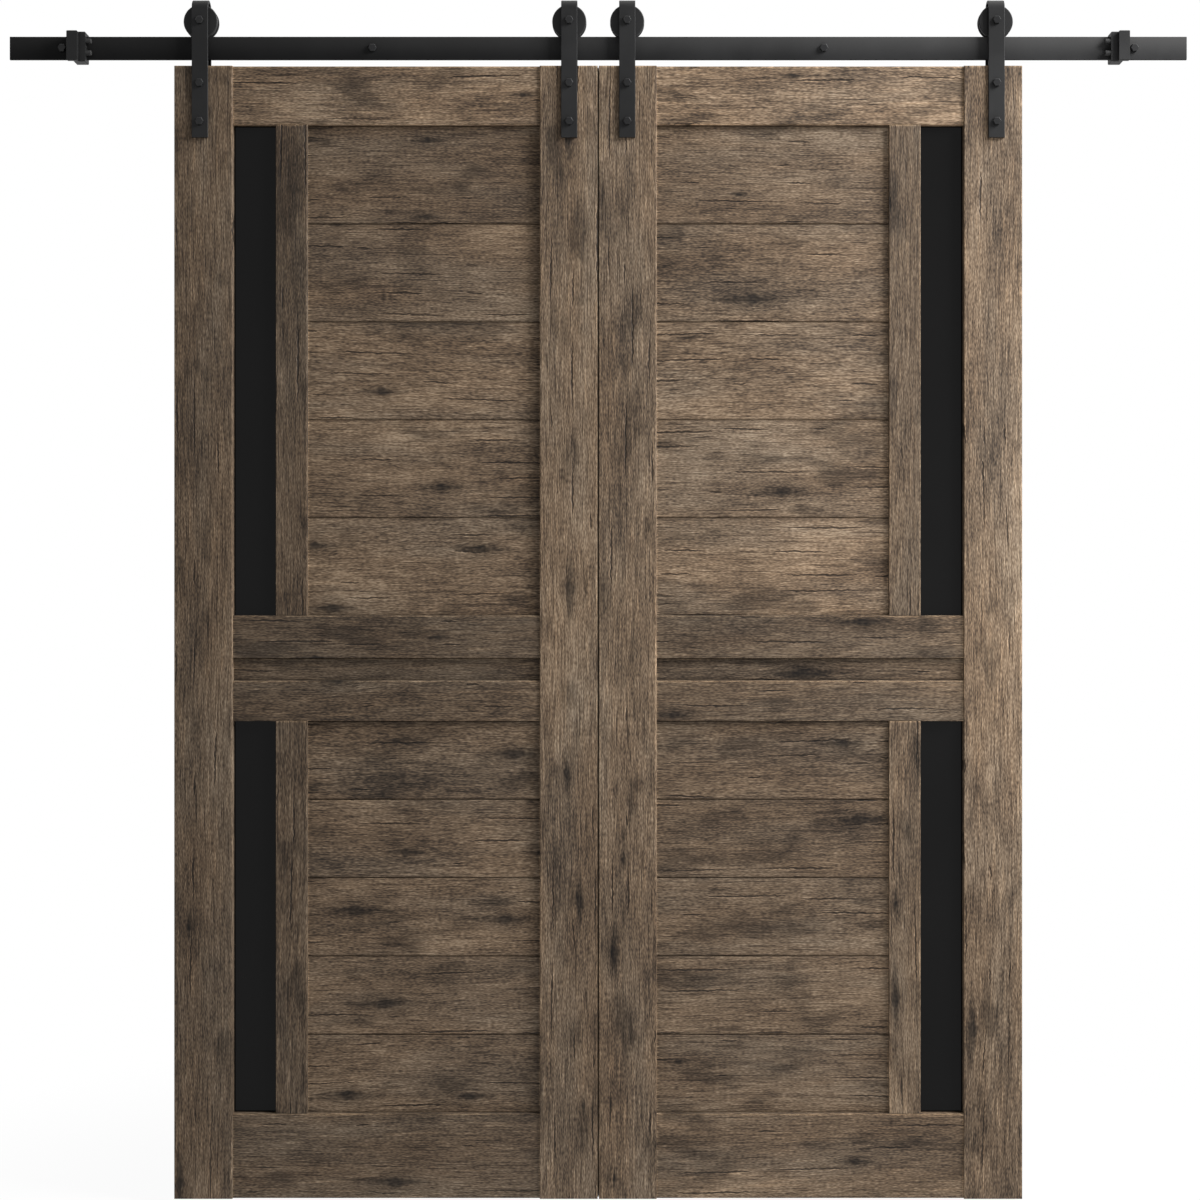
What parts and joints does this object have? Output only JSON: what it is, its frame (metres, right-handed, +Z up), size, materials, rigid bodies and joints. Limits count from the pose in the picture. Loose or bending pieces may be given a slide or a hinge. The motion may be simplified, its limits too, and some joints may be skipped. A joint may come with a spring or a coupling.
{
  "type": "barn doors",
  "caption": "Sliding barn doors: weathered timber leaves with plank panels and slim dark glass, hung by bent straps and grooved wheels from a flat black steel wall rail with end stops.",
  "frame": {"origin": "on the wall plane behind the middle of the rail, on the rail's centre line", "axes": "+X along the rail to the right seen from the front, +Y into the wall, +Z up"},
  "size_m": [2.12, 0.091, 2.156],
  "materials": {
    "weathered_oak": "matte weathered grain",
    "black_steel": "matte powder coat",
    "dark_glass": "gloss, opaque black",
    "rubber": "matte"
  },
  "bodies": {
    "rail_assembly": {"rail": "black_steel", "rail_spacers": "black_steel", "lag_bolts": "black_steel", "stop_clamps": "black_steel", "stop_buffers": "rubber", "stop_screws": "black_steel"},
    "left_door": {"left_anti_jump_blocks": "black_steel", "left_bottom_rail": "weathered_oak", "left_hanger_fasteners": "black_steel", "left_inner_stile": "weathered_oak", "left_inner_strap": "black_steel", "left_lower_glass": "dark_glass", "left_lower_mid_rail": "weathered_oak", "left_lower_mullion": "weathered_oak", "left_lower_plank_1": "weathered_oak", "left_lower_plank_2": "weathered_oak", "left_lower_plank_3": "weathered_oak", "left_lower_plank_4": "weathered_oak", "left_lower_plank_5": "weathered_oak", "left_mid_strip": "weathered_oak", "left_outer_stile": "weathered_oak", "left_outer_strap": "black_steel", "left_top_rail": "weathered_oak", "left_upper_glass": "dark_glass", "left_upper_mid_rail": "weathered_oak", "left_upper_mullion": "weathered_oak", "left_upper_plank_1": "weathered_oak", "left_upper_plank_2": "weathered_oak", "left_upper_plank_3": "weathered_oak", "left_upper_plank_4": "weathered_oak", "left_upper_plank_5": "weathered_oak"},
    "left_outer_wheel_body": {"left_outer_wheel": "black_steel"},
    "left_inner_wheel_body": {"left_inner_wheel": "black_steel"},
    "right_door": {"right_anti_jump_blocks": "black_steel", "right_bottom_rail": "weathered_oak", "right_hanger_fasteners": "black_steel", "right_inner_stile": "weathered_oak", "right_inner_strap": "black_steel", "right_lower_glass": "dark_glass", "right_lower_mid_rail": "weathered_oak", "right_lower_mullion": "weathered_oak", "right_lower_plank_1": "weathered_oak", "right_lower_plank_2": "weathered_oak", "right_lower_plank_3": "weathered_oak", "right_lower_plank_4": "weathered_oak", "right_lower_plank_5": "weathered_oak", "right_mid_strip": "weathered_oak", "right_outer_stile": "weathered_oak", "right_outer_strap": "black_steel", "right_top_rail": "weathered_oak", "right_upper_glass": "dark_glass", "right_upper_mid_rail": "weathered_oak", "right_upper_mullion": "weathered_oak", "right_upper_plank_1": "weathered_oak", "right_upper_plank_2": "weathered_oak", "right_upper_plank_3": "weathered_oak", "right_upper_plank_4": "weathered_oak", "right_upper_plank_5": "weathered_oak"},
    "right_outer_wheel_body": {"right_outer_wheel": "black_steel"},
    "right_inner_wheel_body": {"right_inner_wheel": "black_steel"}
  },
  "joints": [
    {"name": "left_door_slide", "type": "slide", "parent": "rail_assembly", "child": "left_door", "axis": [-1, 0, 0], "range_m": [0, 0.181]},
    {"name": "left_outer_wheel_turn", "type": "hinge", "parent": "left_door", "child": "left_outer_wheel_body", "pos_m": [-0.7151, -0.0415, 0.04645], "axis": [0, 1, 0], "continuous": true},
    {"name": "left_inner_wheel_turn", "type": "hinge", "parent": "left_door", "child": "left_inner_wheel_body", "pos_m": [-0.0521, -0.0415, 0.04645], "axis": [0, 1, 0], "continuous": true},
    {"name": "right_door_slide", "type": "slide", "parent": "rail_assembly", "child": "right_door", "axis": [1, 0, 0], "range_m": [0, 0.181]},
    {"name": "right_outer_wheel_turn", "type": "hinge", "parent": "right_door", "child": "right_outer_wheel_body", "pos_m": [0.7151, -0.0415, 0.04645], "axis": [0, 1, 0], "continuous": true},
    {"name": "right_inner_wheel_turn", "type": "hinge", "parent": "right_door", "child": "right_inner_wheel_body", "pos_m": [0.0521, -0.0415, 0.04645], "axis": [0, 1, 0], "continuous": true}
  ],
  "couplings": [
    {"joint": "left_outer_wheel_turn", "follows": "left_door_slide", "rad_per_m": -39.216},
    {"joint": "left_inner_wheel_turn", "follows": "left_door_slide", "rad_per_m": -39.216},
    {"joint": "right_outer_wheel_turn", "follows": "right_door_slide", "rad_per_m": 39.216},
    {"joint": "right_inner_wheel_turn", "follows": "right_door_slide", "rad_per_m": 39.216}
  ]
}
